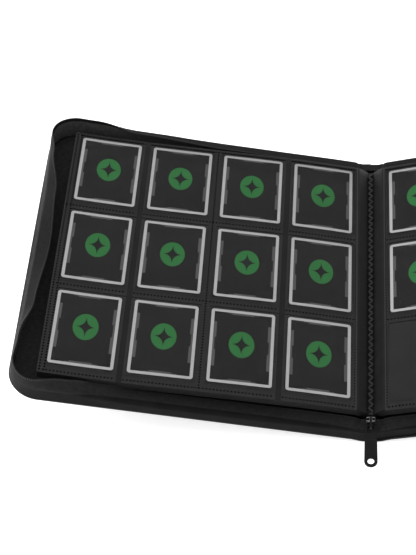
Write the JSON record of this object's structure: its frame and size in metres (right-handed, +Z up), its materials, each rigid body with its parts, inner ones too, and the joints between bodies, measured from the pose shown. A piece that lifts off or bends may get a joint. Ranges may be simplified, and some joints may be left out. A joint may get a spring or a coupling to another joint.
{
  "type": "zip card album",
  "caption": "Zip-round album lying open in a shallow V, with side-loading pocket leaves holding cards, soft gusset walls, zip tapes and a slider with a pull.",
  "frame": {"origin": "middle of the spine's flat underside, where the open album stands", "axes": "+X across the open album to its right side, +Y along the spine away from the zip slider, +Z up"},
  "size_m": [0.6958, 0.3944, 0.0897],
  "materials": {
    "cover_skin": "fine matt grain",
    "board": "grey board, hidden",
    "lining": "matt",
    "gusset_cloth": "soft matt",
    "binding_cloth": "matt",
    "thread": "twisted thread",
    "zip_tape": "woven tape",
    "zip_coil": "nylon coil",
    "zip_metal": "polished",
    "pull_enamel": "satin black",
    "piping": "matt",
    "leaf_sheet": "matt polypropylene",
    "pocket_film": "clear film",
    "sleeve_film": "clear film",
    "card_print": "printed card"
  },
  "bodies": {
    "spine": {"spine_skin": "cover_skin", "spine_board": "board", "spine_lining": "lining", "spine_end_near": "gusset_cloth", "spine_end_far": "gusset_cloth", "binding_strip": "binding_cloth", "binding_thread": "thread", "zip_stop_near": "zip_metal", "zip_stop_far": "zip_metal"},
    "left_cover": {"left_cover_skin": "cover_skin", "left_cover_board": "board", "left_cover_lining": "lining", "left_gusset": "gusset_cloth", "left_zip_tape": "zip_tape", "left_zip_coil": "zip_coil", "left_piping": "piping"},
    "left_leaf_block": {"left_leaf_2": "leaf_sheet", "left_leaf_3": "leaf_sheet", "left_leaf_4": "leaf_sheet", "left_leaf_5": "leaf_sheet", "left_top_margin": "leaf_sheet"},
    "left_top_page": {"left_top_leaf": "leaf_sheet", "left_pocket_films": "pocket_film", "left_sleeves": "sleeve_film", "left_cards": "card_print"},
    "right_cover": {"right_cover_skin": "cover_skin", "right_cover_board": "board", "right_cover_lining": "lining", "right_gusset": "gusset_cloth", "right_zip_tape": "zip_tape", "right_zip_coil": "zip_coil", "right_piping": "piping"},
    "right_leaf_block": {"right_leaf_2": "leaf_sheet", "right_leaf_3": "leaf_sheet", "right_leaf_4": "leaf_sheet", "right_leaf_5": "leaf_sheet", "right_top_margin": "leaf_sheet"},
    "right_top_page": {"right_top_leaf": "leaf_sheet", "right_pocket_films": "pocket_film", "right_sleeves": "sleeve_film", "right_cards": "card_print"},
    "slider": {"zip_slider": "zip_metal", "slider_bridge": "zip_metal"},
    "pull": {"zip_pull": "pull_enamel"}
  },
  "joints": [
    {"name": "left_cover_hinge", "type": "hinge", "parent": "spine", "child": "left_cover", "pos_m": [-0.017, 0, 0.0051], "axis": [0, -1, 0], "range_deg": [-75.7, 0]},
    {"name": "left_block_hinge", "type": "hinge", "parent": "spine", "child": "left_leaf_block", "pos_m": [-0.01408, 0, 0.01818], "axis": [0, -1, 0], "range_deg": [-78.64, 0]},
    {"name": "left_page_turn", "type": "hinge", "parent": "left_leaf_block", "child": "left_top_page", "pos_m": [0, 0, 0.0292], "axis": [0, 1, 0], "range_deg": [0, 157.2]},
    {"name": "right_cover_hinge", "type": "hinge", "parent": "spine", "child": "right_cover", "pos_m": [0.017, 0, 0.0051], "axis": [0, 1, 0], "range_deg": [-75.7, 0]},
    {"name": "right_block_hinge", "type": "hinge", "parent": "spine", "child": "right_leaf_block", "pos_m": [0.01408, 0, 0.01818], "axis": [0, 1, 0], "range_deg": [-78.64, 0]},
    {"name": "right_page_turn", "type": "hinge", "parent": "right_leaf_block", "child": "right_top_page", "pos_m": [0, 0, 0.0292], "axis": [0, -1, 0], "range_deg": [0, 157.2]},
    {"name": "slider_travel", "type": "slide", "parent": "spine", "child": "slider", "axis": [0, 0, 1], "range_m": [0, 0.006]},
    {"name": "pull_swing", "type": "hinge", "parent": "slider", "child": "pull", "pos_m": [0, -0.1702, 0.019], "axis": [-1, 0, 0], "range_deg": [0, 96]}
  ],
  "couplings": [
    {"joint": "left_block_hinge", "follows": "left_cover_hinge", "ratio": 1.0387},
    {"joint": "right_block_hinge", "follows": "right_cover_hinge", "ratio": 1.0387}
  ]
}
